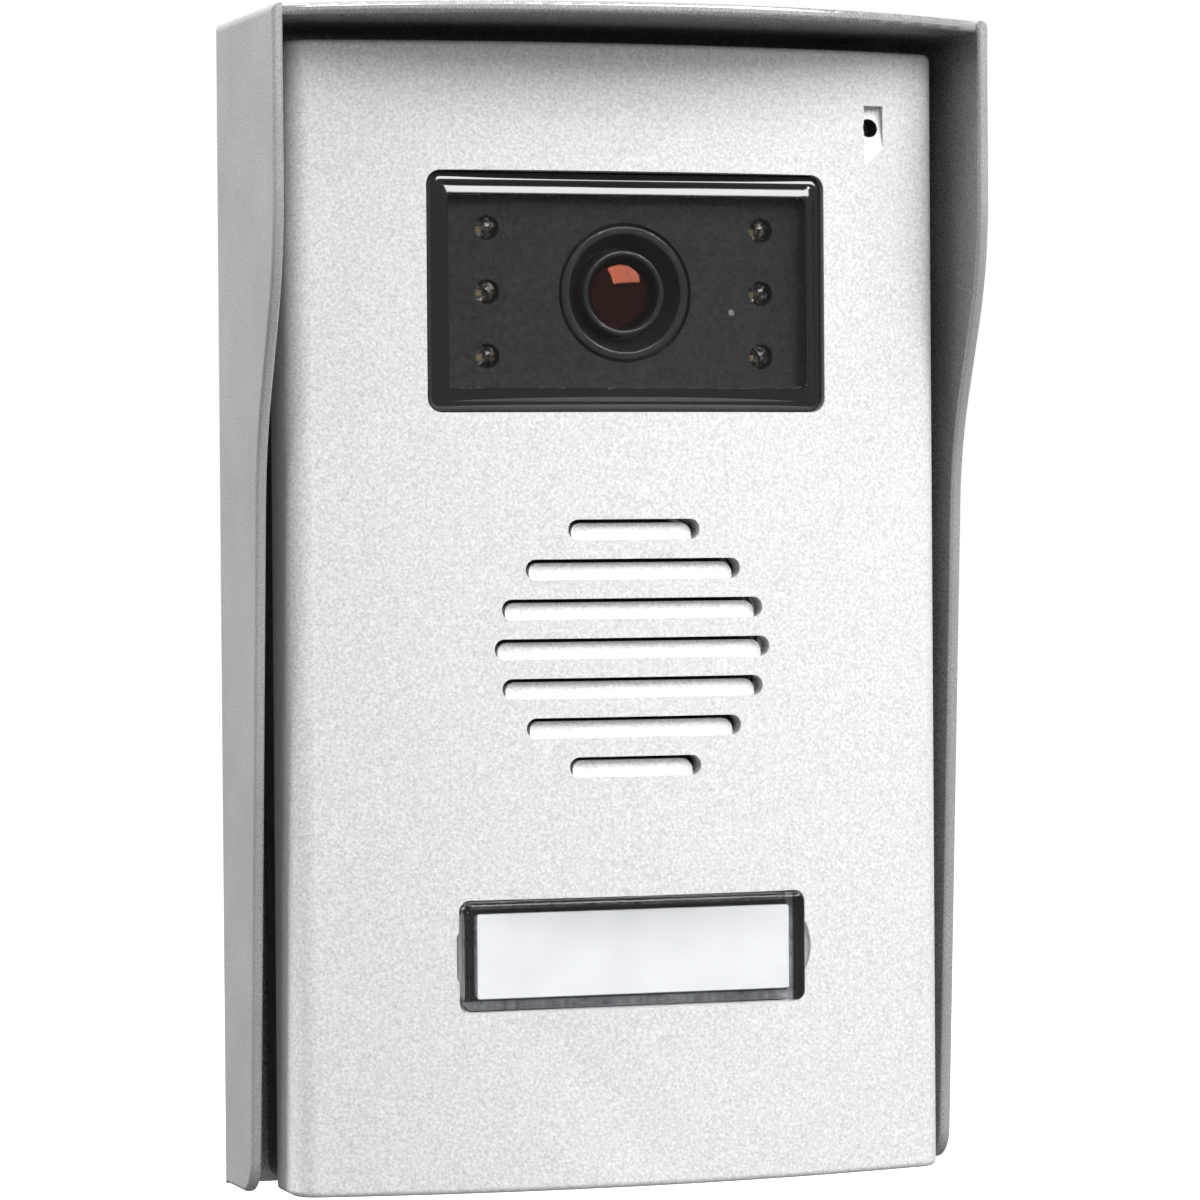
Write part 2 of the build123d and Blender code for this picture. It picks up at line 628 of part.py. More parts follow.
def ir_board():
    lens_hole_r = 7.4
    leg_hole_r = 0.4
    body = plate((48.6, 25.0), 1.0, *IR_BOARD_Y, z=CAM_Z)
    body -= bore(lens_hole_r, 0, CAM_Z)
    for x, z in CAM_POSTS:
        body -= bore(BOARD_CLEAR_R, x, z)
    for x, z in LED_PLACES:
        body -= bore(leg_hole_r, x - LED_LEG_X, z) + bore(leg_hole_r, x + LED_LEG_X, z)
    return body


def ir_led(x, z):
    """Round 3 mm LED with its flange, dome and two legs."""
    base_y = IR_BOARD_Y[1]
    flange_t = 0.8
    flange_r = 1.85
    barrel_length = 3.1
    leg_tip_y = IR_BOARD_Y[0] + 0.8
    dome_y = base_y - barrel_length
    body = disc(flange_r, base_y, base_y - flange_t, x, z) + disc(LED_R, base_y, dome_y, x, z)
    body += Pos(x, dome_y, z) * Sphere(LED_R)
    for dx in (-LED_LEG_X, LED_LEG_X):
        body += disc(LED_LEG_R, leg_tip_y, base_y, x + dx, z)
    return body


def light_sensor():
    """Small sensor whose light pipe ends flush in the faceplate."""
    x, z = SENSOR_POS
    package_t = 1.0
    foot_y = IR_BOARD_Y[1] - package_t
    body = plate((3.0, 3.0), 0.3, IR_BOARD_Y[1], foot_y, x, z) + disc(1.0, foot_y, foot_y - 0.5, x, z)
    return body + disc(SENSOR_TIP_R, foot_y - 0.5, PLATE_FRONT_Y + 0.1, x, z)


def board_spacers():
    rings = [tube(CAM_POST_R, BOARD_CLEAR_R, CAM_BOARD_Y[1], IR_BOARD_Y[0], x, z) for x, z in CAM_POSTS]
    return Compound(rings)


def camera_board_screws():
    return Compound([pan_screw(x, z, CAM_BOARD_Y[0], 1.9, 1.3, BOARD_SCREW_R, -21.8) for x, z in CAM_POSTS])


def faceplate_screws():
    return Compound([pan_screw(x, z, PLATE_Y[0], 2.3, 1.4, SMALL_SCREW_R, -22.3) for x, z in PLATE_SCREWS])


# --- Sound ----------------------------------------------------------------------------

def microphone_boot():
    body = disc(MIC_BOOT_R, -16.6, MIC_SEAT_Y, MIC_X, MIC_Z)
    body -= bore(MIC_HOLE_R - 0.05, MIC_X, MIC_Z)
    return body - disc(MIC_R + 0.05, 0, -19.5, MIC_X, MIC_Z)


def microphone():
    body = disc(MIC_R, -16.8, -19.45, MIC_X, MIC_Z)
    body -= disc(MIC_R - 0.4, 0, -17.0, MIC_X, MIC_Z)
    return body - disc(0.6, -19.0, AHEAD, MIC_X, MIC_Z)


def speaker_gasket():
    return tube(SPK_R, SPK_R - 1.4, SPK_RIM_Y[1], SPK_SEAT_Y, 0, SPK_Z)


def speaker_basket():
    """Pressed basket with four vents and a solder tag."""
    rim_rear, rim_front = SPK_RIM_Y
    neck_r = 11.3
    outline = [(18.0, rim_front), (SPK_R, rim_front), (SPK_R, rim_rear), (18.6, rim_rear),
               (neck_r, SPK_GAP_Y), (neck_r, -14.6), (9.9, -14.6), (9.9, SPK_GAP_Y), (17.2, rim_rear),
               (18.0, rim_rear)]
    body = turned(outline, 0, SPK_Z)
    for angle in (45, 135, 225, 315):
        vent = Rot(0, angle, 0) * block(-4, 4, -16.3, -20.0, 10, 22)
        body -= Pos(0, 0, SPK_Z) * vent
    return body + block(19, 23.5, rim_rear, rim_rear + 0.8, SPK_Z - 2.5, SPK_Z + 2.5)


def speaker_cone():
    """Thin film: a centre dome, the cone and a rolled edge glued to the basket."""
    outline = [(0, -20.3), (4.6, -18.7), (4.9, -18.4), (15.4, -21.3), (16.4, -21.8), (17.8, -21.75),
               (17.8, -21.35), (16.5, -21.4), (15.4, -20.95), (5.0, -18.05), (4.5, -18.3), (0, -19.95)]
    return turned(outline, 0, SPK_Z)


def voice_coil():
    return tube(5.0, 4.6, -13.4, -18.0, 0, SPK_Z)


def speaker_magnet():
    return tube(9.8, 5.5, SPK_PLATE_Y, SPK_GAP_Y, 0, SPK_Z)


def speaker_pole():
    yoke_t = 1.2
    yoke = disc(11.2, SPK_PLATE_Y + yoke_t, SPK_PLATE_Y, 0, SPK_Z)
    return yoke + disc(4.2, SPK_PLATE_Y, SPK_GAP_Y, 0, SPK_Z)


def speaker_clamp_screws():
    return Compound([pan_screw(x, z, SPK_RIM_Y[0], 3.0, 1.4, SMALL_SCREW_R, -23.4) for x, z in SPK_SCREWS])


# --- Call button ----------------------------------------------------------------------

def button_cover():
    """Clear cap with a pocket behind for the label and the light guide."""
    body = plate(BTN_SIZE, BTN_R, BTN_REAR_Y, BTN_FRONT_Y, z=BTN_Z)
    body = fillet(front_rim(body, BTN_FRONT_Y), BTN_EDGE_R)
    return body - plate(BTN_POCKET, 0.4, 0, BTN_FRONT_Y + BTN_TOP_T, z=BTN_Z)


def name_label():
    front_y = BTN_FRONT_Y + BTN_TOP_T + 0.05
    return plate(LABEL_SIZE, 0.3, front_y + LABEL_T, front_y, z=BTN_Z)


def light_guide():
    """White diffuser behind the label, hollow over the two backlight LEDs."""
    front_y = BTN_FRONT_Y + 1.7
    body = plate(LABEL_SIZE, 0.3, BTN_FRAME_Y[1], front_y, z=BTN_Z)
    return body - plate(GUIDE_POCKET, 0.5, 0, front_y + GUIDE_TOP_T, z=BTN_Z)


def button_frame():
    """Black frame that the cap and the light guide are glued to; its flange stops behind the cover."""
    rear_y, front_y = BTN_FRAME_Y
    body = plate(BTN_FLANGE, 2, rear_y, front_y, z=BTN_Z)
    body -= plate(GUIDE_POCKET, 0.5, 0, AHEAD, z=BTN_Z)
    body += disc(2.6, rear_y + 0.45, front_y, 0, BTN_Z)
    body += block(-0.6, 0.6, rear_y, front_y, BTN_Z - 4.4, BTN_Z + 4.4)
    for side in (-1, 1):
        body += disc(1.3, rear_y + 1.9, rear_y, side * SPRING_X, BTN_Z)
    return body


def return_spring(side):
    rear_y, front_y = SPRING_Y
    coil = Helix(pitch=SPRING_PITCH, height=rear_y - front_y, radius=SPRING_R)
    wire = sweep(Plane(coil @ 0, z_dir=coil % 0) * Circle(SPRING_WIRE_R), coil, is_frenet=True)
    return Pos(side * SPRING_X, rear_y, BTN_Z) * Rot(90, 0, 0) * wire


def call_switch_body():
    """Tactile switch, bored for its plunger and hollow for the plunger's collar."""
    gap = 0.05
    body = plate((6.2, 6.2), 0.4, BOARD_Y[1], SWITCH_FRONT_Y, z=BTN_Z)
    body -= bore(PLUNGER_R + gap, 0, BTN_Z)
    body -= disc(PLUNGER_COLLAR_R + gap, -16.4, SWITCH_FRONT_Y + 0.3, 0, BTN_Z)
    return body + disc(PLUNGER_COLLAR_R + gap, BOARD_Y[1], BOARD_Y[1] - 0.2, 0, BTN_Z)


def call_switch_plunger():
    rear_y, front_y = PLUNGER_Y
    collar_t = 0.35
    pin = disc(PLUNGER_R, rear_y, front_y, 0, BTN_Z)
    return pin + disc(PLUNGER_COLLAR_R, rear_y, rear_y - collar_t, 0, BTN_Z)


def backlight_leds():
    front_y = BOARD_Y[1] - 1.6
    leds = []
    for x in (-BACKLIGHT_X, BACKLIGHT_X):
        body = plate((3.5, 2.8), 0.2, BOARD_Y[1], front_y, x, BTN_Z)
        leds.append(body - disc(1.1, front_y + 0.4, AHEAD, x, BTN_Z))
    return Compound(leds)


# --- Electronics ----------------------------------------------------------------------

def main_board():
    body = block(-BOARD_HALF_W, BOARD_HALF_W, *BOARD_Y, *BOARD_Z)
    body = fillet(body.edges().filter_by(Axis.Y), 1.5)
    for x, z in BOARD_SCREWS:
        body -= bore(SMALL_CLEAR_R, x, z)
    return body


def main_board_screws():
    screws = [pan_screw(x, z, BOARD_Y[1], 2.3, 1.5, SMALL_SCREW_R, -9.5, towards=1) for x, z in BOARD_SCREWS]
    return Compound(screws)


def processor_chip():
    x, z = CHIP_POS
    foot_y = BOARD_Y[1] - 0.2
    chip = plate((12, 12), 0.4, foot_y, foot_y - 1.3, x, z)
    chip += plate((14.4, 10.6), 0.1, BOARD_Y[1], foot_y, x, z)
    return chip + plate((10.6, 14.4), 0.1, BOARD_Y[1], foot_y, x, z)


def power_capacitor():
    x, z = CAPACITOR_POS
    base_y = BOARD_Y[0] + 0.7
    can_r = 3.15
    can_y = -8.9
    edge = 0.3
    body = plate((6.8, 6.8), 0.8, base_y, BOARD_Y[0], x, z)
    can = [(0, can_y), (can_r - edge, can_y), (can_r, can_y - edge), (can_r, base_y), (0, base_y)]
    return body + turned(can, x, z)


def lock_relay():
    x, z = RELAY_POS
    foot_y = BOARD_Y[0] + 0.3
    body = plate((10.0, 6.6), 0.5, -9.6, foot_y, x, z)
    for dx in (-3.8, 0, 3.8):
        body += plate((0.8, 8.0), 0.1, foot_y, BOARD_Y[0], x + dx, z)
    return body


def terminal_block():
    """Row of screw terminals with a wire mouth below each screw."""
    half_w = TERMINAL_COUNT * TERMINAL_PITCH / 2 + 0.3
    half_h = 4.2
    mouth_half_w = 1.6
    low = TERMINAL_Z - half_h
    body = block(-half_w, half_w, TERMINAL_REAR_Y, BOARD_Y[0], low, TERMINAL_Z + half_h)
    for x in TERMINAL_XS:
        body -= disc(2.0, 0, TERMINAL_SEAT_Y, x, TERMINAL_Z)
        body -= block(x - mouth_half_w, x + mouth_half_w, -9.4, -13.0, low - 0.8, TERMINAL_Z + 1)
    return body


def terminal_screws():
    head_r = 1.9
    slot_half_w = 0.35
    screws = []
    for x in TERMINAL_XS:
        head = disc(head_r, -7.0, TERMINAL_SEAT_Y, x, TERMINAL_Z)
        slot = block(x - 1.8, x + 1.8, -6.9, -7.7, TERMINAL_Z - slot_half_w, TERMINAL_Z + slot_half_w)
        screws.append(head - slot)
    return Compound(screws)


def wire_header():
    wall = 1.0
    front_y = -20.6
    low, high = HEADER_Z - 2.5, HEADER_Z + 2.4
    body = block(-HEADER_HALF_W, HEADER_HALF_W, BOARD_Y[1], front_y, low, high)
    inner_half_w = HEADER_HALF_W - wall
    return body - block(-inner_half_w, inner_half_w, front_y + 0.6, AHEAD, low + 0.9, high - 0.9)


def volume_trimmer_body():
    x, z = TRIMMER_POS
    body = plate((6.6, 6.6), 0.4, -10.8, BOARD_Y[0], x, z)
    return body - disc(TRIMMER_R + 0.05, 0, TRIMMER_Y[1] - 0.1, x, z)


def volume_trimmer_rotor():
    x, z = TRIMMER_POS
    rear_y, front_y = TRIMMER_Y
    return disc(TRIMMER_R, rear_y, front_y, x, z) - cross(x, z, 1.7, 0.35, rear_y, rear_y - 0.8)


# --- Internal leads -------------------------------------------------------------------

def camera_lead():
    points = [(-20, -11.6, 29.4), (-20, -11.6, 22), (-27.5, -12.2, 8), (-27.5, -13, -14),
              (-8, -18.4, -21), (-8, -18.4, -28.1)]
    return lead(points, (6, 12, 12, 5), 1.1)


def speaker_lead():
    points = [(22, -20.1, SPK_Z), (22, -15.6, SPK_Z), (21, -14.0, -13.5), (6, -16.2, -21.5),
              (3, -18.6, -24), (3, -18.6, -28.1)]
    return lead(points, (3, 3.5, 3.5, 3.0), 0.8)


def microphone_lead():
    points = [(MIC_X, -16.9, MIC_Z), (MIC_X, -12.6, MIC_Z), (37.6, -12.0, 52), (37.6, -12.0, -10),
              (15, -16.0, -23.6), (10.5, -18.6, -25.0), (10.5, -18.6, -28.1)]
    return lead(points, (3.5, 10, 12, 3, 2.5), 0.8)


# --- Output ---------------------------------------------------------------------------

def all_nodes():
    makers = [
        rain_hood, cable_grommet, rear_cover, front_cover, cover_screws, hood_screw_insert,
        hood_fixing_screw, camera_window, camera_gasket, camera_faceplate, lens_shroud, lens_barrel,
        lens_front_element, lens_holder, ir_filter, image_sensor, camera_board, ir_board, light_sensor,
        board_spacers, camera_board_screws, faceplate_screws, microphone_boot, microphone,
        speaker_gasket, speaker_basket, speaker_cone, voice_coil, speaker_magnet, speaker_pole,
        speaker_clamp_screws, button_cover, name_label, light_guide, button_frame, call_switch_body,
        call_switch_plunger, backlight_leds, main_board, main_board_screws, processor_chip, power_capacitor,
        lock_relay, terminal_block, terminal_screws, wire_header, volume_trimmer_body,
        volume_trimmer_rotor, camera_lead, speaker_lead, microphone_lead,
    ]
    nodes = {maker.__name__: maker() for maker in makers}
    nodes["housing_seal"] = seal_ring(0.1, SPLIT_Y + SEAL_T - 0.05, SPLIT_Y)
    for number, (x, z) in enumerate(LED_PLACES, start=1):
        nodes[f"ir_led_{number}"] = ir_led(x, z)
    for name, side in (("left", -1), ("right", 1)):
        nodes[f"return_spring_{name}"] = return_spring(side)
    return nodes


os.makedirs("parts", exist_ok=True)
for node_name, shape in all_nodes().items():
    export_step(shape, f"parts/{node_name}.step")
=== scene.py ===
import bmesh
import bpy
from math import cos, pi, radians, sin, sqrt, tau
from mathutils import Matrix, Vector


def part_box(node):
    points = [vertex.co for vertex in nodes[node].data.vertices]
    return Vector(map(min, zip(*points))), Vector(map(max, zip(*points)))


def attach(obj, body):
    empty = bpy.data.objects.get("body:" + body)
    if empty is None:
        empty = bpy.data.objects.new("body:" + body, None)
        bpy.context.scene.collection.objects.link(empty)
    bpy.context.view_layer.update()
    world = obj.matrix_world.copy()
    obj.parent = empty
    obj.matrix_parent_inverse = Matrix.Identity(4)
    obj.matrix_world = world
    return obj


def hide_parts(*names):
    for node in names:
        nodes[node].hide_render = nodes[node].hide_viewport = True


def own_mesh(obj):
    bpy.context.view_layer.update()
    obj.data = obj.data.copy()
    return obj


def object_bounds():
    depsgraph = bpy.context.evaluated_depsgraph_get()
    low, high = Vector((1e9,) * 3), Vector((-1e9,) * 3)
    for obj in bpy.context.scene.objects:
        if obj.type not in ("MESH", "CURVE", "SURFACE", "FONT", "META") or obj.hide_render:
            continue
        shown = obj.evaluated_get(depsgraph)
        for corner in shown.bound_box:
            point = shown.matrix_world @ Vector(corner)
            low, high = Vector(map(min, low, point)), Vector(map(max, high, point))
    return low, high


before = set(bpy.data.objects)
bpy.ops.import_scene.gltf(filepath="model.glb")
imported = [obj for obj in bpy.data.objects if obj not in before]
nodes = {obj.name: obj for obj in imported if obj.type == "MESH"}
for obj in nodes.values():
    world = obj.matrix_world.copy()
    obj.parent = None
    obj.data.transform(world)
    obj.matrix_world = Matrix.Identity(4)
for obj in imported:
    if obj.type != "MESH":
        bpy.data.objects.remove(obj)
cad_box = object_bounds()

# The looks of a door intercom panel. Blender units are metres; MM turns millimetres into them.
# The wall is y = 0, the front faces -Y and +Z is up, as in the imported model.
MM = 0.001


# --- Camera, light and floor ------------------------------------------------------------

CAMERA_PLACE = (-0.2132, -0.6503, 0.0132)
CAMERA_YAW = 18.48
CAMERA_PITCH = -0.96
CAMERA_ROLL = -0.42
CAMERA_LENS = 150.8
SENSOR_WIDTH = 36.0
CLIP_RANGE = (0.01, 50.0)

# Softboxes all round the panel: name, azimuth and elevation in degrees, width and height in
# metres, watts, and whether glossy and clear surfaces mirror it. No mirrored one stands where
# the flat window mirrors it to the camera.
LAMP_DISTANCE = 1.3
LAMPS = (
    ("key_box", -27, 34, (1.1, 0.65), 17.0, True),
    ("front_box", 8, 26, (1.1, 0.8), 8.0, False),
    ("low_box", -22, -32, (1.9, 1.05), 6.5, False),
    ("right_box", -60, 0, (0.9, 0.8), 4.0, False),
    ("right_high_box", -75, 50, (0.5, 0.5), 7.5, True),
    ("rim_box", 125, 50, (0.5, 0.5), 48.0, True),
    ("left_box", 78, 30, (0.5, 0.6), 3.0, True),
    ("top_box", 30, 75, (0.6, 0.5), 6.0, True),
)
WORLD_GREY = (0.235, 0.235, 0.235, 1)
WHITE = (1, 1, 1, 1)

FLOOR_DROP = 0.10
FLOOR_HALF = 6.0
FLOOR_GREY = (0.25, 0.25, 0.25, 1)
FLOOR_ROUGHNESS = 0.9


def add_camera():
    data = bpy.data.cameras.new("camera")
    data.lens = CAMERA_LENS
    data.sensor_width = SENSOR_WIDTH
    data.clip_start, data.clip_end = CLIP_RANGE
    camera = bpy.data.objects.new("camera", data)
    yaw, pitch, roll = radians(CAMERA_YAW), radians(CAMERA_PITCH), radians(CAMERA_ROLL)
    ahead = Vector((sin(yaw) * cos(pitch), cos(yaw) * cos(pitch), sin(pitch)))
    level = Vector((cos(yaw), -sin(yaw), 0))
    above = level.cross(ahead)
    right = cos(roll) * level + sin(roll) * above
    up = cos(roll) * above - sin(roll) * level
    turn = Matrix((right, up, -ahead)).transposed()
    camera.matrix_world = Matrix.Translation(CAMERA_PLACE) @ turn.to_4x4()
    bpy.context.scene.collection.objects.link(camera)
    bpy.context.scene.camera = camera


def around(azimuth, elevation, distance):
    """A place round the panel: azimuth 0 is straight in front and 90 is on its left, -X, side."""
    a, e = radians(azimuth), radians(elevation)
    return Vector((-sin(a) * cos(e), -cos(a) * cos(e), sin(e))) * distance


def add_softbox(name, azimuth, elevation, size, watts, mirrored):
    data = bpy.data.lights.new(name, "AREA")
    data.shape = "RECTANGLE"
    data.size, data.size_y = size
    data.energy = watts
    light = bpy.data.objects.new(name, data)
    light.location = around(azimuth, elevation, LAMP_DISTANCE)
    light.rotation_euler = (-light.location).to_track_quat("-Z", "Y").to_euler()
    light.visible_glossy = mirrored
    light.visible_transmission = mirrored
    bpy.context.scene.collection.objects.link(light)


def add_world():
    """Grey surroundings that light the panel, seen as white behind it."""
    world = bpy.data.worlds.new("studio")
    world.use_nodes = True
    tree = world.node_tree
    grey = tree.nodes["Background"]
    grey.inputs["Color"].default_value = WORLD_GREY
    white = tree.nodes.new("ShaderNodeBackground")
    white.inputs["Color"].default_value = WHITE
    path = tree.nodes.new("ShaderNodeLightPath")
    mix = tree.nodes.new("ShaderNodeMixShader")
    tree.links.new(path.outputs["Is Camera Ray"], mix.inputs[0])
    tree.links.new(grey.outputs[0], mix.inputs[1])
    tree.links.new(white.outputs[0], mix.inputs[2])
    tree.links.new(mix.outputs[0], tree.nodes["World Output"].inputs["Surface"])
    bpy.context.scene.world = world


def floor_material():
    mat = bpy.data.materials.new("pale_floor")
    mat.use_nodes = True
    shader = mat.node_tree.nodes["Principled BSDF"]
    shader.inputs["Base Color"].default_value = FLOOR_GREY
    shader.inputs["Roughness"].default_value = FLOOR_ROUGHNESS
    shader.inputs["Emission Color"].default_value = WHITE
    shader.inputs["Emission Strength"].default_value = 1.0
    return mat


def add_floor():
    """Pale floor some way under the panel, which hangs on its wall screws."""
    low = cad_box[0].z - FLOOR_DROP
    half = FLOOR_HALF
    bm = bmesh.new()
    corners = ((-half, -half), (half, -half), (half, half), (-half, half))
    bm.faces.new([bm.verts.new((x, y, low)) for x, y in corners])
    mesh = bpy.data.meshes.new("floor")
    bm.to_mesh(mesh)
    bm.free()
    floor = bpy.data.objects.new("floor", mesh)
    mesh.materials.append(floor_material())
    floor.visible_diffuse = False
    floor.visible_glossy = False
    floor.visible_transmission = False
    bpy.context.scene.collection.objects.link(floor)


add_camera()
add_world()
add_floor()
bpy.context.scene.view_settings.view_transform = "Standard"
for lamp in LAMPS:
    add_softbox(*lamp)


# --- Places taken from the CAD nodes ----------------------------------------------------

def in_mm(node):
    low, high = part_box(node)
    return low / MM, high / MM


button_low, button_high = in_mm("button_cover")
BUTTON_Z = (button_low.z + button_high.z) / 2
LABEL_POCKET = (43.4, 11.2)

window_low, window_high = in_mm("camera_window")
CAM_Z = (window_low.z + window_high.z) / 2
WINDOW_FRONT = window_low.y

# The microphone hole in the front cover: its axis and radius.
MIC_X = 34.9
MIC_Z = 64.8
MIC_HOLE_R = 1.2


# --- Material builders ------------------------------------------------------------------

class Recipe:
    """A Principled material whose nodes read object coordinates, with sizes in millimetres."""

    def __init__(self, name, **sockets):
        self.mat = bpy.data.materials.new(name)
        self.mat.use_nodes = True
        self.tree = self.mat.node_tree
        self.shader = self.tree.nodes["Principled BSDF"]
        self.place = self.tree.nodes.new("ShaderNodeTexCoord").outputs["Object"]
        for key, value in sockets.items():
            self.shader.inputs[key.replace("_", " ")].default_value = value

    def stretched(self, scale):
        """Coordinates with a different scale along each axis, for brushed or drawn grain."""
        node = self.tree.nodes.new("ShaderNodeMapping")
        node.inputs["Scale"].default_value = scale
        self.tree.links.new(self.place, node.inputs["Vector"])
        return node.outputs["Vector"]

    def noise(self, size, detail=2.0, place=None):
        node = self.tree.nodes.new("ShaderNodeTexNoise")
        node.inputs["Scale"].default_value = 1.0 / (size * MM)
        node.inputs["Detail"].default_value = detail
        self.tree.links.new(place or self.place, node.inputs["Vector"])
        return node.outputs["Fac"]

    def flakes(self, size):
        """A random value in each small cell."""
        node = self.tree.nodes.new("ShaderNodeTexVoronoi")
        node.inputs["Scale"].default_value = 1.0 / (size * MM)
        self.tree.links.new(self.place, node.inputs["Vector"])
        return node.outputs["Color"]

    def cell_edges(self, size):
        """Distance to the nearest edge between cells."""
        node = self.tree.nodes.new("ShaderNodeTexVoronoi")
        node.distance = "MANHATTAN"
        node.feature = "DISTANCE_TO_EDGE"
        node.inputs["Scale"].default_value = 1.0 / (size * MM)
        self.tree.links.new(self.place, node.inputs["Vector"])
        return node.outputs["Distance"]

    def spread(self, value, low, high, start=0.3, end=0.7):
        """value, taken from start..end to low..high."""
        node = self.tree.nodes.new("ShaderNodeMapRange")
        for key, number in (("From Min", start), ("From Max", end), ("To Min", low), ("To Max", high)):
            node.inputs[key].default_value = number
        self.tree.links.new(value, node.inputs["Value"])
        return node.outputs["Result"]

    def maths(self, operation, first, second):
        node = self.tree.nodes.new("ShaderNodeMath")
        node.operation = operation
        self.tree.links.new(first, node.inputs[0])
        self.tree.links.new(second, node.inputs[1])
        return node.outputs[0]

    def added(self, first, second, share):
        """first plus share of second."""
        node = self.tree.nodes.new("ShaderNodeMath")
        node.operation = "MULTIPLY_ADD"
        node.inputs[1].default_value = share
        self.tree.links.new(second, node.inputs[0])
        self.tree.links.new(first, node.inputs[2])
        return node.outputs[0]

    def vector(self, operation, first, second=None):
        node = self.tree.nodes.new("ShaderNodeVectorMath")
        node.operation = operation
        self.tree.links.new(first, node.inputs[0])
        if second is not None:
            node.inputs[1].default_value = second
        return node

    def from_axis(self, x, z):
        """Distance from the line along Y through x, z."""
        moved = self.vector("SUBTRACT", self.place, (x * MM, 0, z * MM)).outputs[0]
        flat = self.vector("MULTIPLY", moved, (1, 0, 1)).outputs[0]
        return self.vector("LENGTH", flat).outputs["Value"]

    def from_box(self, width, height, z):
        """Distance outside a rectangle seen from the front, centred at x = 0."""
        moved = self.vector("SUBTRACT", self.place, (0, 0, z * MM)).outputs[0]
        folded = self.vector("ABSOLUTE", moved).outputs[0]
        beyond = self.vector("SUBTRACT", folded, (width / 2 * MM, 0, height / 2 * MM)).outputs[0]
        split = self.tree.nodes.new("ShaderNodeSeparateXYZ")
        self.tree.links.new(beyond, split.inputs[0])
        return self.maths("MAXIMUM", split.outputs["X"], split.outputs["Z"])

    def colour(self, factor, dark, light):
        node = self.tree.nodes.new("ShaderNodeMix")
        node.data_type = "RGBA"
        node.inputs["A"].default_value = (*dark, 1)
        node.inputs["B"].default_value = (*light, 1)
        self.tree.links.new(factor, node.inputs["Factor"])
        self.tree.links.new(node.outputs["Result"], self.shader.inputs["Base Color"])

    def over_colour(self, bare, amount):
        """Another colour over the base colour where amount is 0."""
        mix = self.tree.nodes.new("ShaderNodeMix")
        mix.data_type = "RGBA"
        base = self.shader.inputs["Base Color"]
        self.tree.links.new(base.links[0].from_socket, mix.inputs["B"])
        mix.inputs["A"].default_value = (*bare, 1)
        self.tree.links.new(amount, mix.inputs["Factor"])
        self.tree.links.new(mix.outputs["Result"], base)

    def roughness(self, value, low, high):
        self.tree.links.new(self.spread(value, low, high), self.shader.inputs["Roughness"])

    def relief(self, height, depth):
        """Bump from a height value, depth in millimetres."""
        node = self.tree.nodes.new("ShaderNodeBump")
        node.inputs["Distance"].default_value = depth * MM
        node.inputs["Strength"].default_value = 1.0
        self.tree.links.new(height, node.inputs["Height"])
        self.tree.links.new(node.outputs["Normal"], self.shader.inputs["Normal"])

    def lets_lamps_through(self):
        """Shadow rays pass straight through, so that a lamp lights what is behind clear plastic."""
        path = self.tree.nodes.new("ShaderNodeLightPath")
        clear = self.tree.nodes.new("ShaderNodeBsdfTransparent")
        mix = self.tree.nodes.new("ShaderNodeMixShader")
        self.tree.links.new(path.outputs["Is Shadow Ray"], mix.inputs[0])
        self.tree.links.new(self.shader.outputs[0], mix.inputs[1])
        self.tree.links.new(clear.outputs[0], mix.inputs[2])
        self.tree.links.new(mix.outputs[0], self.tree.nodes["Material Output"].inputs["Surface"])


def tinted(colour, factor):
    return tuple(min(1.0, part * factor) for part in colour)


def plain_finish(name, colour, rough, tone, tone_size, grain, depth, **sockets):
    """Moulded or cast surface: slow changes of tone, uneven gloss and a fine grain."""
    recipe = Recipe(name, **sockets)
    slow = recipe.noise(tone_size)
    fine = recipe.noise(grain, 3.0)
    recipe.colour(recipe.spread(slow, 0, 1), tinted(colour, 1 - tone), tinted(colour, 1 + tone))
    recipe.roughness(slow, rough * 0.88, min(1, rough * 1.12))
    recipe.relief(fine, depth)
    return recipe


def brushed_metal(name, colour, rough, along):
    """Drawn or turned metal with fine lines."""
    recipe = Recipe(name, Metallic=1.0)
    lines = recipe.noise(1.0, 3.0, recipe.stretched(along))
    recipe.colour(recipe.spread(lines, 0, 1), tinted(colour, 0.86), tinted(colour, 1.08))
    recipe.roughness(lines, rough * 0.8, rough * 1.25)
    recipe.relief(lines, 0.003)
    return recipe


def clear_plastic(name, tint, rough, **sockets):
    recipe = Recipe(name, Transmission_Weight=1.0, **sockets)
    slow = recipe.noise(6.0)
    recipe.colour(recipe.spread(slow, 0, 1), tinted(tint, 0.97), tint)
    recipe.roughness(slow, rough * 0.7, rough * 1.3)
    recipe.lets_lamps_through()
    return recipe


# --- Materials --------------------------------------------------------------------------

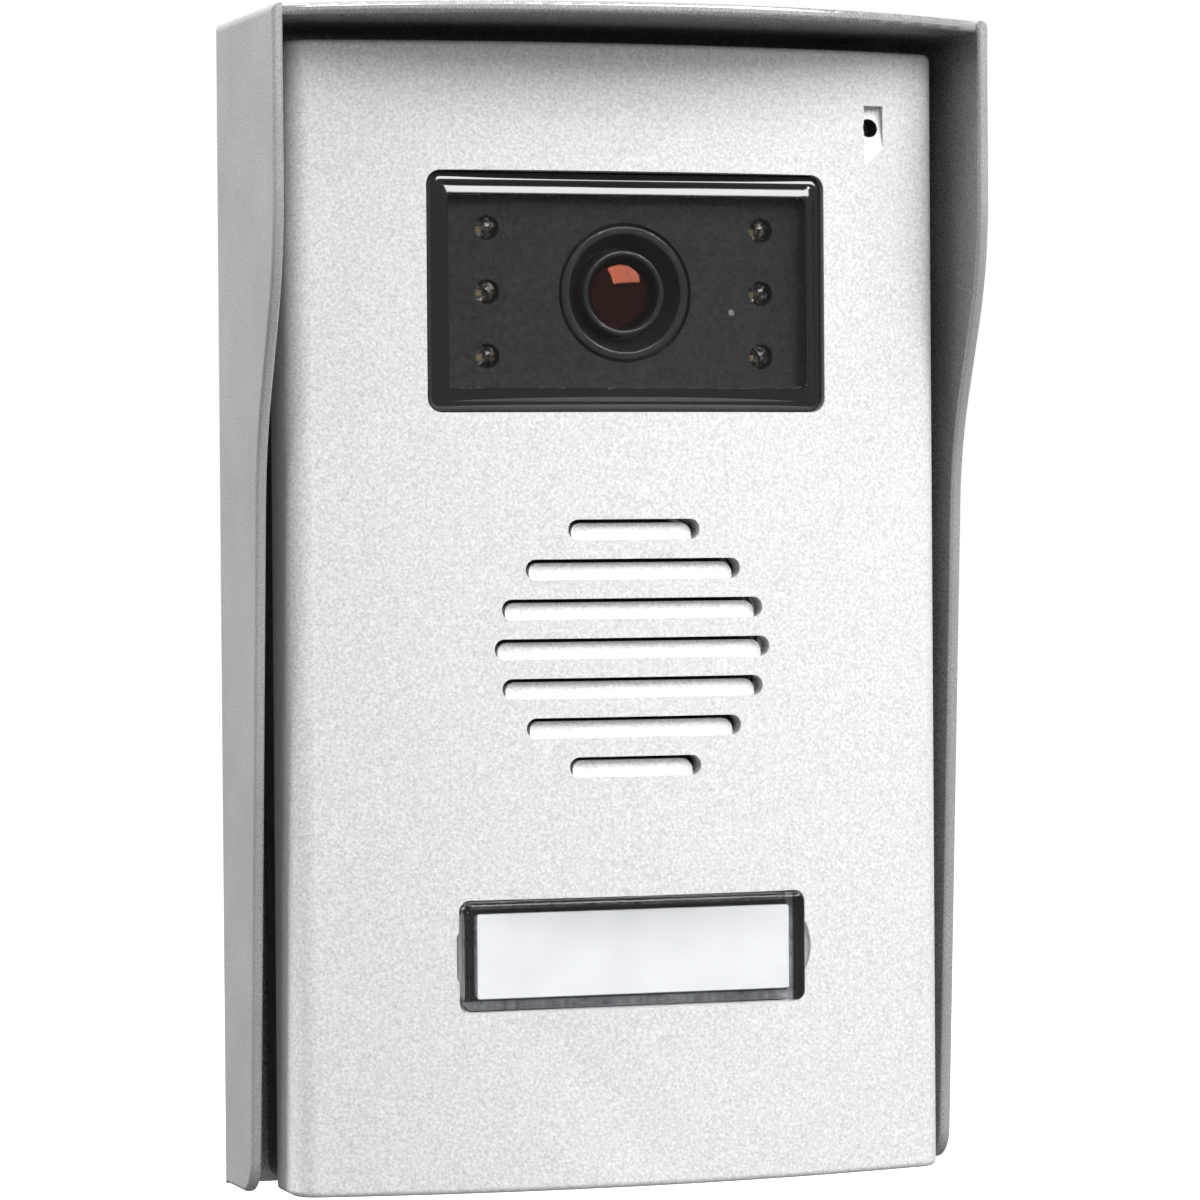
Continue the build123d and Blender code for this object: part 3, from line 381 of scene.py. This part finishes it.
# Colour, roughness, share of tone change and its size in mm, grain size and depth in mm.
PLAIN_FINISHES = {
    "rubber": ((0.022, 0.022, 0.023), 0.75, 0.15, 4.0, 0.2, 0.01),
    "black_plastic": ((0.028, 0.028, 0.03), 0.42, 0.12, 4.0, 0.15, 0.006),
    "gloss_black": ((0.004, 0.004, 0.0045), 0.10, 0.1, 6.0, 0.8, 0.0006),
    "dark_plate": ((0.019, 0.0187, 0.0187), 0.65, 0.45, 0.45, 0.3, 0.03),
    "lens_black": ((0.012, 0.012, 0.0125), 0.24, 0.1, 3.0, 0.12, 0.002),
    "chip_black": ((0.03, 0.03, 0.032), 0.55, 0.1, 2.0, 0.08, 0.004),
    "led_white": ((0.80, 0.78, 0.62), 0.4, 0.05, 1.0, 0.1, 0.002),
    "speaker_film": ((0.05, 0.047, 0.045), 0.5, 0.15, 1.5, 0.25, 0.01),
    "ferrite": ((0.055, 0.055, 0.058), 0.7, 0.15, 1.2, 0.2, 0.02),
    "label_white": ((0.90, 0.90, 0.90), 0.55, 0.015, 6.0, 0.15, 0.002),
    "white_plastic": ((0.80, 0.80, 0.79), 0.4, 0.03, 5.0, 0.2, 0.003),
    "terminal_green": ((0.03, 0.30, 0.11), 0.42, 0.08, 3.0, 0.2, 0.005),
    "trimmer_blue": ((0.03, 0.11, 0.42), 0.4, 0.08, 3.0, 0.2, 0.004),
    "lead_black": ((0.025, 0.025, 0.027), 0.45, 0.15, 3.0, 0.3, 0.01),
    "lead_red": ((0.45, 0.02, 0.02), 0.42, 0.12, 3.0, 0.3, 0.01),
    "lead_grey": ((0.28, 0.28, 0.29), 0.45, 0.12, 3.0, 0.3, 0.01),
    "board_black": ((0.012, 0.012, 0.013), 0.4, 0.2, 1.5, 0.3, 0.01),
    "sensor_pipe": ((0.17, 0.17, 0.175), 0.35, 0.1, 0.5, 0.2, 0.002),
}

# Colour, roughness and the scale of the grain along X, Y and Z.
TURNED_GRAIN = (60, 3, 60)
BRUSHED_METALS = {
    "steel": ((0.62, 0.61, 0.60), 0.28, TURNED_GRAIN),
    "spring_steel": ((0.66, 0.65, 0.63), 0.2, (80, 80, 12)),
    "brass": ((0.80, 0.60, 0.28), 0.27, TURNED_GRAIN),
    "aluminium_can": ((0.78, 0.78, 0.79), 0.25, (30, 2, 30)),
    "copper": ((0.85, 0.45, 0.28), 0.25, (6, 90, 6)),
    "chip_gold": ((0.90, 0.72, 0.42), 0.3, TURNED_GRAIN),
}

# Tint and roughness.
CLEAR_PLASTICS = {
    "clear_window": ((0.93, 0.94, 0.95), 0.02),
    "clear_button": ((0.80, 0.81, 0.83), 0.03),
    "lens_glass": ((0.12, 0.09, 0.08), 0.01),
    "filter_glass": ((0.55, 0.85, 0.90), 0.02),
    "led_clear": ((0.68, 0.63, 0.60), 0.02),
}

# Shader sockets of single finishes.
SOCKETS = {
    "gloss_black": {"IOR": 1.95},
    "dark_plate": {"Specular_IOR_Level": 0.15},
    "lens_black": {"IOR": 1.5},
    "clear_window": {"IOR": 1.33},
    "clear_button": {"IOR": 1.49},
    "lens_glass": {"IOR": 1.75, "Specular_Tint": (1.0, 0.26, 0.14, 1)},
    "filter_glass": {"IOR": 1.52},
    "led_clear": {"IOR": 1.54},
}

# CAD nodes that look different from the other nodes in their slot.
OTHER_FINISHES = {
    "ir_board": "board_black",
    "light_sensor": "sensor_pipe",
    "button_frame": "button_grey",
}


def face_paint():
    """Sprayed silver with visible metal flake; the bore of the microphone hole is painted near-black as
    shade.
    """
    recipe = Recipe("face_paint", Metallic=0.2, Specular_IOR_Level=0.4)
    flake = recipe.flakes(0.25)
    coarse = recipe.noise(0.4, 2.0)
    recipe.colour(recipe.spread(recipe.added(coarse, flake, 0.35), 0, 1, 0.35, 0.95),
                  (0.45, 0.45, 0.453), (0.69, 0.69, 0.69))
    recipe.roughness(flake, 0.42, 0.62)
    recipe.relief(recipe.added(recipe.noise(0.35, 2.0), flake, 0.4), 0.02)
    # Painted shade: inside the microphone hole's radius the colour turns near-black, standing in for
    # the shade in the bore.
    from_hole = recipe.from_axis(MIC_X, MIC_Z)
    outside_hole_shade = recipe.spread(from_hole, 0, 1, (MIC_HOLE_R + 0.03) * MM, (MIC_HOLE_R + 0.08) * MM)
    recipe.over_colour((0.012, 0.012, 0.012), outside_hole_shade)
    return recipe.mat


def hood_paint():
    """Smooth silver powder coat with a faint flake."""
    recipe = Recipe("hood_paint", Metallic=0.4, Specular_IOR_Level=0.5)
    flake = recipe.flakes(0.16)
    slow = recipe.noise(14.0)
    recipe.colour(recipe.spread(recipe.added(slow, flake, 0.15), 0, 1, 0.3, 0.85),
                  (0.34, 0.337, 0.34), (0.405, 0.402, 0.405))
    recipe.roughness(flake, 0.22, 0.32)
    recipe.relief(recipe.noise(0.25, 2.0), 0.003)
    return recipe.mat


def board_green():
    """Solder mask over copper tracks."""
    recipe = Recipe("circuit_board", Roughness=0.35, Coat_Weight=0.4, Coat_Roughness=0.15)
    tracks = recipe.spread(recipe.cell_edges(3.2), 0, 1, 0.03, 0.06)
    recipe.colour(tracks, (0.035, 0.17, 0.075), (0.012, 0.085, 0.035))
    recipe.roughness(recipe.noise(2.0), 0.3, 0.42)
    recipe.relief(tracks, -0.02)
    return recipe.mat


def cup_metal():
    """Silver-plated reflector cup with a rippled, glittering surface."""
    recipe = Recipe("cup_metal", Metallic=1.0)
    ripple = recipe.noise(0.28, 2.0)
    recipe.colour(recipe.spread(ripple, 0, 1, 0.4, 0.62), (0.10, 0.09, 0.085), (0.92, 0.90, 0.88))
    recipe.roughness(ripple, 0.12, 0.3)
    recipe.relief(ripple, 0.16)
    return recipe.mat


def button_grey():
    """Grey frame round the label, with painted shade: dark lines along the label and along the outer
    edge.
    """
    recipe = plain_finish("button_grey", (0.42, 0.42, 0.425), 0.3, 0.35, 1.1, 0.3, 0.02)
    # Painted shade: near-black bands by position, one along the label pocket and one near the frame's
    # outer edge, stand in for the dark edges that the clear cap shows there.
    rim = recipe.from_box(*LABEL_POCKET, BUTTON_Z)
    inner = recipe.spread(rim, 0, 1, 0.3 * MM, 0.6 * MM)
    outer = recipe.spread(rim, 1, 0, 1.2 * MM, 1.5 * MM)
    recipe.over_colour((0.01, 0.01, 0.01), recipe.maths("MULTIPLY", inner, outer))
    return recipe.mat


def make_materials():
    made = {
        "case_paint": face_paint(),
        "hood_paint": hood_paint(),
        "circuit_board": board_green(),
        "cup_metal": cup_metal(),
        "button_grey": button_grey(),
    }
    families = (
        (plain_finish, PLAIN_FINISHES),
        (brushed_metal, BRUSHED_METALS),
        (clear_plastic, CLEAR_PLASTICS),
    )
    for build, table in families:
        for name, values in table.items():
            made[name] = build(name, *values, **SOCKETS.get(name, {})).mat
    return made


materials = make_materials()


def dress_cad_nodes():
    """Each carried-over CAD node takes the finish named by its slot in the record."""
    for name, part in nodes.items():
        for place in part.material_slots:
            place.material = materials[OTHER_FINISHES.get(name, place.material.name)]


dress_cad_nodes()


# --- Mesh helpers -----------------------------------------------------------------------

def finish_piece(name, bm, finish, body, replaced, crease):
    """Turns bm into a smooth-shaded piece that rides on a body and stands for a CAD node."""
    bmesh.ops.recalc_face_normals(bm, faces=bm.faces)
    mesh = bpy.data.meshes.new(name)
    bm.to_mesh(mesh)
    bm.free()
    mesh.shade_smooth()
    mesh.set_sharp_from_angle(angle=radians(crease))
    for face in mesh.polygons:
        if len(face.vertices) > 4:
            face.use_smooth = False
    piece = bpy.data.objects.new(name, mesh)
    bpy.context.scene.collection.objects.link(piece)
    mesh.materials.append(materials[finish])
    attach(piece, body)
    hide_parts(replaced)
    return piece


def skin(bm, rings, closed=True):
    """Faces between successive rings of points, with the same count in each."""
    made = [[bm.verts.new(point) for point in ring] for ring in rings]
    for low, high in zip(made, made[1:]):
        band(bm, low, high)
    if closed:
        bm.faces.new(made[0])
        bm.faces.new(made[-1])
    return made


def band(bm, low, high):
    """Quads between two rings of vertices."""
    for i in range(len(low)):
        j = (i + 1) % len(low)
        bm.faces.new((low[i], low[j], high[j], high[i]))


def rounded_ring(width, height, corner, y, z, steps=10):
    """Rounded rectangle in the plane y, sizes in millimetres."""
    ring = []
    for quarter, (sx, sz) in enumerate(((1, 1), (-1, 1), (-1, -1), (1, -1))):
        cx = sx * (width / 2 - corner)
        cz = sz * (height / 2 - corner)
        for step in range(steps + 1):
            turn = (quarter + step / steps) * pi / 2
            ring.append(((cx + corner * cos(turn)) * MM, y * MM, (z + cz + corner * sin(turn)) * MM))
    return ring


def stacked(bm, rings, z, closed=True):
    """Skin over (width, height, corner, y) rounded rectangles, all centred on x = 0 and z."""
    return skin(bm, [rounded_ring(w, h, r, y, z) for w, h, r, y in rings], closed)


def edge_arc(width, height, corner, y_side, radius, steps):
    """(width, height, corner, y) rings that round a front edge over; the edge starts at y_side."""
    rings = []
    for step in range(steps + 1):
        turn = step / steps * pi / 2
        inset = radius * (1 - cos(turn))
        rings.append((width - 2 * inset, height - 2 * inset, max(corner - inset, 0.1),
                      y_side - radius * sin(turn)))
    return rings


def turned(bm, profile, x, z, steps=96):
    """Surface of revolution about a Y axis from (radius, y) points in millimetres."""
    rings = []
    for step in range(steps):
        turn = step / steps * tau
        rings.append([((x + r * cos(turn)) * MM, y * MM, (z + r * sin(turn)) * MM) for r, y in profile])
    made = [[bm.verts.new(point) for point in ring] for ring in rings]
    for step in range(steps):
        here, there = made[step], made[(step + 1) % steps]
        for i in range(len(profile) - 1):
            bm.faces.new((here[i], here[i + 1], there[i + 1], there[i]))
    bmesh.ops.remove_doubles(bm, verts=bm.verts, dist=0.001 * MM)


def arc_points(cx, cy, radius, start, end, steps):
    """(radius, y) points along an arc, angles in degrees, 0 outwards and 90 to the front."""
    points = []
    for step in range(steps + 1):
        turn = radians(start + (end - start) * step / steps)
        points.append((cx + radius * cos(turn), cy - radius * sin(turn)))
    return points


def dome(radius, rim_y, bulge, steps=14):
    """(radius, y) points from the rim to the crown of a spherical cap."""
    curve = (radius**2 + bulge**2) / (2 * bulge)
    points = []
    for step in range(steps + 1):
        r = radius * (1 - step / steps)
        points.append((r, rim_y - (sqrt(curve**2 - r**2) - (curve - bulge))))
    return points


# --- Camera window ----------------------------------------------------------------------

# Sizes in millimetres; rounded rectangles are width, height and corner radius.
FLANGE = (59.6, 36.0, 3.0)
FLANGE_T = 1.2
BEAD = (54.8, 31.2, 1.8)
BEAD_R = 1.15
BEAD_STEPS = 9
# The bead's front stands this far behind the window's front.
BEAD_BEHIND = 0.6

# The long curve from the bead up to the pane: its slopes, how much narrower and lower than
# the bead it starts, how much it narrows on the way, and its corner radii.
CURVE_SLOPES = (38, 4)
CURVE_START = (2.5, 2.6)
CURVE_RUN = (2.6, 3.2)
CURVE_CORNERS = (1.1, 0.8)
CURVE_STEPS = 8

PANE_HOLE = (49.5, 25.2, 0.75)
PANE = (49.48, 25.18, 0.74)
PANE_LIP = 0.15
PANE_FRONT = 0.1
PANE_BACK = 2.1
PANE_EDGE_R = 0.05
REAR_POCKET = (52.0, 28.4, 1.0)


def curve_rings(bead_front):
    """(width, height, corner, y) rings of the convex curve, steep at the bead."""
    steep, shallow = (radians(slope) for slope in CURVE_SLOPES)
    rings = []
    for step in range(CURVE_STEPS + 1):
        turn = steep + (shallow - steep) * step / CURVE_STEPS
        inwards = (sin(steep) - sin(turn)) / (sin(steep) - sin(shallow))
        upwards = (cos(turn) - cos(steep)) / (cos(shallow) - cos(steep))
        width = BEAD[0] - CURVE_START[0] - CURVE_RUN[0] * inwards
        height = BEAD[1] - CURVE_START[1] - CURVE_RUN[1] * inwards
        corner = CURVE_CORNERS[0] + (CURVE_CORNERS[1] - CURVE_CORNERS[0]) * inwards
        rings.append((width, height, corner, bead_front - BEAD_BEHIND * upwards))
    return rings


def window_frame():
    """Gloss black frame: a rounded bead, a long curve up to the pane, and the rear flange."""
    back = window_high.y
    bead_front = WINDOW_FRONT + BEAD_BEHIND
    pane_back = WINDOW_FRONT + PANE_BACK
    rings = [(*FLANGE, back), (*FLANGE, back - FLANGE_T), (*BEAD, back - FLANGE_T)]
    rings += edge_arc(*BEAD, bead_front + BEAD_R, BEAD_R, BEAD_STEPS)
    rings += curve_rings(bead_front)
    rings += [(*PANE_HOLE, WINDOW_FRONT + PANE_LIP), (*PANE_HOLE, pane_back)]
    rings += [(*REAR_POCKET, pane_back), (*REAR_POCKET, back)]
    bm = bmesh.new()
    made = stacked(bm, rings, CAM_Z, closed=False)
    band(bm, made[-1], made[0])
    piece = finish_piece("window_frame", bm, "gloss_black", "station", "camera_window", 25)


def window_pane():
    rings = [(*PANE, WINDOW_FRONT + PANE_BACK)]
    rings += edge_arc(*PANE, WINDOW_FRONT + PANE_FRONT + PANE_EDGE_R, PANE_EDGE_R, 4)
    bm = bmesh.new()
    stacked(bm, rings, CAM_Z)
    piece = finish_piece("window_pane", bm, "clear_window", "station", "camera_window", 32)


window_frame()
window_pane()


# --- Lens -------------------------------------------------------------------------------

SHROUD_R = 8.85
SHROUD_LIP_R = 0.35
SHROUD_LIP_INNER = 8.0
SHROUD_FLANGE_R = 10.4
SHROUD_FOOT_R = 8.4
# The flange's two faces, ahead of the shroud's back.
SHROUD_FLANGE_Y = (1.1, 2.1)
# (radius, depth behind the front) down the bowl.
SHROUD_BOWL = ((7.5, 0.8), (7.2, 1.6), (6.9, 2.3), (6.4, 2.8))
SHROUD_NECK = (6.1, 6.6)

BARREL_R = 5.8
THREAD_PITCH = 0.45
# One turn of the thread: (radius, distance ahead of the turn's start).
THREAD_FORM = ((BARREL_R, 0), (5.66, 0.12), (5.66, 0.2), (BARREL_R, 0.32))
# Where the thread starts ahead of the back, and where it stops behind the front.
THREAD_START = 0.3
THREAD_END = 3.9
BEZEL_START = 3.4
BEZEL_SIDE_R = 5.7
BEZEL_R = 0.44
BEZEL_CENTRE_R = 5.26
SEAT_R = 4.82
# The steps behind the glass: (radius, depth behind the front).
SEAT_STEPS = ((SEAT_R, 0.9), (SEAT_R, 2.1), (4.3, 2.1), (4.2, 2.5))
BAFFLE_COUNT = 3
BAFFLE_R = 4.1
BAFFLE_STEP = (0.35, 0.7)
BAFFLE_START = 2.7
BAFFLE_T = (0.1, 0.5)
BAFFLE_DEPTH = 0.25
BORE_END = (3.1, 5.2)
BORE_BACK_R = 3.4

GLASS_R = 4.78
GLASS_BULGE = 1.3
# The glass's rear face: (radius, distance ahead of the back).
GLASS_REAR = ((0, 0.5), (3.2, 0.35), (GLASS_R, 0))


def lens_shroud():
    """Ring in the faceplate: a rounded lip, then a bowl down to the barrel."""
    low, high = in_mm("lens_shroud")
    front, back = low.y, high.y
    near, far = (back - ahead for ahead in SHROUD_FLANGE_Y)
    lip_y = front + SHROUD_LIP_R
    profile = [(SHROUD_FOOT_R, near), (SHROUD_FLANGE_R, near), (SHROUD_FLANGE_R, far)]
    profile += [(SHROUD_R, far), (SHROUD_R, lip_y)]
    profile += arc_points(SHROUD_R - SHROUD_LIP_R, lip_y, SHROUD_LIP_R, 0, 90, 5)
    profile += arc_points(SHROUD_LIP_INNER, lip_y, SHROUD_LIP_R, 90, 180, 5)
    profile += [(radius, front + depth) for radius, depth in SHROUD_BOWL]
    profile += [(SHROUD_NECK[0], back), (SHROUD_NECK[1], back), (SHROUD_FOOT_R, near)]
    bm = bmesh.new()
    turned(bm, profile, 0, CAM_Z)
    piece = finish_piece("lens_shroud_ring", bm, "lens_black", "station", "lens_shroud", 40)


def thread_profile(start, end):
    """(radius, y) points of the thread from start forwards to end."""
    profile = []
    y = start
    while y > end:
        profile += [(radius, y - ahead) for radius, ahead in THREAD_FORM]
        y -= THREAD_PITCH
    return profile


def baffle_profile(front):
    """(radius, y) points of the stepped light baffles."""
    profile = []
    for step in range(BAFFLE_COUNT):
        radius = BAFFLE_R - BAFFLE_STEP[0] * step
        y = front + BAFFLE_START + BAFFLE_STEP[1] * step
        inner = radius - BAFFLE_DEPTH
        profile += [(radius, y), (inner, y + BAFFLE_T[0]), (inner, y + BAFFLE_T[1])]
    return profile


def lens_barrel():
    """Threaded barrel with a rounded bezel and stepped light baffles behind the glass."""
    low, high = in_mm("lens_barrel")
    front, back = low.y, high.y
    profile = [(BORE_BACK_R, back), (BARREL_R, back)]
    profile += thread_profile(back - THREAD_START, front + THREAD_END)
    profile += [(BEZEL_SIDE_R, front + BEZEL_START), (BEZEL_SIDE_R, front + BEZEL_R)]
    profile += arc_points(BEZEL_CENTRE_R, front + BEZEL_R, BEZEL_R, 0, 180, 14)
    profile += [(radius, front + depth) for radius, depth in SEAT_STEPS]
    profile += baffle_profile(front)
    profile += [(BORE_END[0], front + BORE_END[1]), (BORE_BACK_R, back)]
    bm = bmesh.new()
    turned(bm, profile, 0, CAM_Z)
    piece = finish_piece("lens_barrel_body", bm, "lens_black", "station", "lens_barrel", 35)


def lens_glass():
    low, high = in_mm("lens_front_element")
    front, back = low.y, high.y
    rim_y = front + GLASS_BULGE
    profile = [(radius, back - ahead) for radius, ahead in GLASS_REAR]
    profile += dome(GLASS_R, rim_y, GLASS_BULGE)
    bm = bmesh.new()
    turned(bm, profile, 0, CAM_Z)
    piece = finish_piece("lens_front_glass", bm, "lens_glass", "station", "lens_front_element", 40)


lens_shroud()
lens_barrel()
lens_glass()


# --- Infrared LEDs ----------------------------------------------------------------------

LED_COUNT = 6
LED_R = 1.5
LED_FLANGE_R = 1.85
LED_FLANGE_T = 0.8
# The LED's foot, behind its tip.
LED_LENGTH = 4.6
# The reflector cup: (radius, distance ahead of the foot).
CUP_PROFILE = (
    (0, 1.3), (0.55, 1.3), (0.62, 1.2), (0.62, 1.9),
    (0.95, 2.5), (0.85, 2.5), (0.4, 2.0), (0, 2.0),
)
CHIP_SIZE = (0.34, 0.2, 0.34)
CHIP_BEVEL = 0.12
CHIP_AHEAD = 2.1
LEG_X = 1.27
LEG_R = 0.25
LEG_TIP_R = 0.2
LEG_TIP = 0.06
LEG_GAP = 0.02


def led_epoxy(node, x, z, tip):
    foot = tip + LED_LENGTH
    neck = foot - LED_FLANGE_T
    profile = [(0, foot), (LED_FLANGE_R, foot), (LED_FLANGE_R, neck), (LED_R, neck)]
    profile += arc_points(0, tip + LED_R, LED_R, 0, 90, 12)
    bm = bmesh.new()
    turned(bm, profile, x, z, 48)
    piece = finish_piece(f"{node}_epoxy", bm, "led_clear", "station", node, 40)


def led_cup(node, x, z, foot):
    bm = bmesh.new()
    turned(bm, [(radius, foot - ahead) for radius, ahead in CUP_PROFILE], x, z, 32)
    piece = finish_piece(f"{node}_cup", bm, "cup_metal", "station", node, 30)


def led_chip(node, x, z, foot):
    centre = Vector((x, foot - CHIP_AHEAD, z))
    bm = bmesh.new()
    bmesh.ops.create_cube(bm, size=1.0)
    bmesh.ops.bevel(bm, geom=bm.edges[:], offset=CHIP_BEVEL, segments=1, affect="EDGES")
    for vert in bm.verts:
        vert.co = (centre + vert.co * Vector(CHIP_SIZE)) * MM
    piece = finish_piece(f"{node}_chip", bm, "chip_gold", "station", node, 30)


def led_legs(node, x, z, foot, end):
    """Both legs, from just behind the foot back to end."""
    top = foot - LEG_GAP
    profile = [(0, end), (LEG_TIP_R, end), (LEG_R, end - LEG_TIP), (LEG_R, top), (0, top)]
    bm = bmesh.new()
    for side in (-1, 1):
        turned(bm, profile, x + side * LEG_X, z, 16)
    piece = finish_piece(f"{node}_legs", bm, "steel", "station", node, 30)


def infrared_led(number):
    """Clear epoxy body over a pressed reflector cup with a small chip."""
    node = f"ir_led_{number}"
    low, high = in_mm(node)
    x = (low.x + high.x) / 2
    z = (low.z + high.z) / 2
    foot = low.y + LED_LENGTH
    led_epoxy(node, x, z, low.y)
    led_cup(node, x, z, foot)
    led_chip(node, x, z, foot)
    led_legs(node, x, z, foot, high.y)


for number in range(1, LED_COUNT + 1):
    infrared_led(number)


# --- Call button ------------------------------------------------------------------------

CAP = (47.6, 14.4, 1.3)
CAP_EDGE_R = 0.7
CAP_POCKET = (*LABEL_POCKET, 0.4)
CAP_TOP_T = 1.2

SPRING_WIRE_R = 0.2
SPRING_TURNS = 4.0
SPRING_STEPS = 160
WIRE_SIDES = 10


def button_cap():
    """Clear cap: rounded front edge, and a pocket behind that holds the label."""
    front, back = button_low.y, button_high.y
    rings = [(*CAP_POCKET, front + CAP_TOP_T), (*CAP_POCKET, back), (*CAP, back)]
    rings += edge_arc(*CAP, front + CAP_EDGE_R, CAP_EDGE_R, 8)
    bm = bmesh.new()
    stacked(bm, rings, BUTTON_Z)
    piece = finish_piece("button_cap", bm, "clear_button", "call_button", "button_cover", 25)


def coil_rings(x, z, radius, start, end):
    """Rings of points round the wire of a coil that runs from y = start to end."""
    rise = Vector((0, 1, 0))
    rings = []
    for step in range(SPRING_STEPS + 1):
        share = step / SPRING_STEPS
        turn = share * SPRING_TURNS * tau
        out = Vector((cos(turn), 0, sin(turn)))
        centre = Vector((x, start + (end - start) * share, z)) + out * radius
        angles = (tau * side / WIRE_SIDES for side in range(WIRE_SIDES))
        rings.append([(centre + (out * cos(a) + rise * sin(a)) * SPRING_WIRE_R) * MM for a in angles])
    return rings


def return_spring(side_name):
    """Coil spring behind the call button, built at one length; nothing here makes it flatten as the
    button is pressed in.
    """
    node = f"return_spring_{side_name}"
    low, high = in_mm(node)
    x = (low.x + high.x) / 2
    z = (low.z + high.z) / 2
    radius = (high.x - low.x) / 2 - SPRING_WIRE_R
    bm = bmesh.new()
    skin(bm, coil_rings(x, z, radius, high.y - SPRING_WIRE_R, low.y + SPRING_WIRE_R))
    piece = finish_piece(f"{node}_coil", bm, "spring_steel", "station", node, 60)
    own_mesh(piece)


button_cap()
for side_name in ("left", "right"):
    return_spring(side_name)
